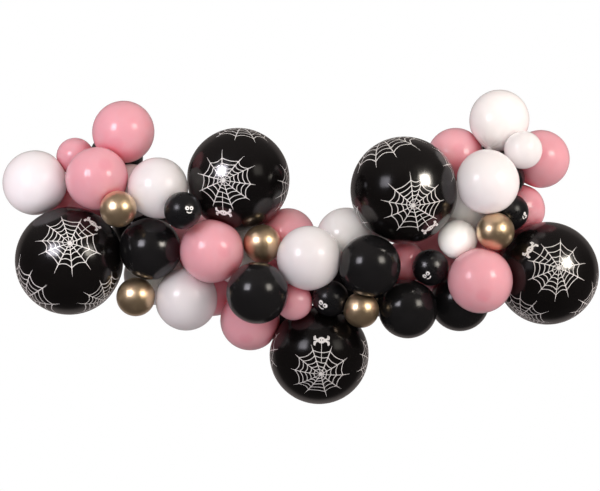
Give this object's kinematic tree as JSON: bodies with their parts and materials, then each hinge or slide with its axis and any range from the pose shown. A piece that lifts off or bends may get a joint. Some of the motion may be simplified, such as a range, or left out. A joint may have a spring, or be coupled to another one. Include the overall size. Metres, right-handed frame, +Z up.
{
  "type": "balloon garland",
  "caption": "Irregular garland of small to large pink, white, black and gold balloons, the largest printed with white spider webs, to be fixed to a wall by its back.",
  "frame": {"origin": "on the wall plane, at the middle of the flat pad where the centre back balloon meets the wall", "axes": "+X to the right along the garland's length seen from the front, +Y into the wall, +Z up"},
  "size_m": [1.9829, 0.5461, 1.0478],
  "materials": {
    "pink_latex": "smooth dusty pink latex with a soft gloss",
    "white_latex": "smooth milky white latex with a soft gloss",
    "black_latex": "satin black latex",
    "web_print_latex": "glossy black latex printed with white spider webs",
    "small_print_latex": "glossy black latex with a small white print",
    "gold_latex": "metallic gold latex"
  },
  "bodies": {
    "root": {"pink_balloon_behind_left": "pink_latex", "black_balloon_behind_mid_left": "black_latex", "pink_balloon_behind_far_right": "pink_latex", "black_balloon_behind_left": "black_latex", "white_balloon_behind_left": "white_latex", "pink_balloon_behind_mid_left": "pink_latex", "white_balloon_behind_lower_left": "white_latex", "pink_balloon_behind_lower": "pink_latex", "white_balloon_behind_centre": "white_latex", "pink_balloon_behind_centre": "pink_latex", "black_mini_behind_lower": "black_latex", "black_balloon_behind_centre": "black_latex", "black_mini_behind_centre": "black_latex", "pink_balloon_behind_right": "pink_latex", "black_balloon_behind_right": "black_latex", "pink_balloon_upper_right": "pink_latex", "white_balloon_behind_right": "white_latex", "pink_balloon_centre_back": "pink_latex", "white_balloon_centre_back": "white_latex", "pink_balloon_right_back": "pink_latex", "black_balloon_right_back": "black_latex", "pink_balloon_lower": "pink_latex", "white_balloon_top": "white_latex", "pink_balloon_top_right": "pink_latex", "black_mini_behind_right": "black_latex", "pink_balloon_top_left": "pink_latex", "pink_mini_left": "pink_latex", "web_balloon_bottom": "web_print_latex", "web_balloon_upper_left": "web_print_latex", "web_balloon_upper_right": "web_print_latex", "web_balloon_left": "web_print_latex", "web_balloon_right": "web_print_latex", "pink_mini_right": "pink_latex", "white_balloon_far_left": "white_latex", "white_balloon_left": "white_latex", "pink_balloon_left": "pink_latex", "black_balloon_left": "black_latex", "white_balloon_lower_left": "white_latex", "black_balloon_lower_right": "black_latex", "pink_mini_centre": "pink_latex", "gold_mini_lower_left": "gold_latex", "gold_mini_left": "gold_latex", "face_mini_left": "small_print_latex", "gold_mini_centre_left": "gold_latex", "face_mini_centre": "small_print_latex", "gold_mini_centre_right": "gold_latex", "face_mini_right": "small_print_latex", "white_mini_right": "white_latex", "face_mini_far_right": "small_print_latex", "gold_mini_right": "gold_latex", "white_mini_top": "white_latex", "white_balloon_right": "white_latex", "black_balloon_lower": "black_latex", "pink_balloon_front": "pink_latex", "black_balloon_centre": "black_latex", "white_balloon_centre": "white_latex", "pink_balloon_right": "pink_latex"}
  },
  "joints": []
}
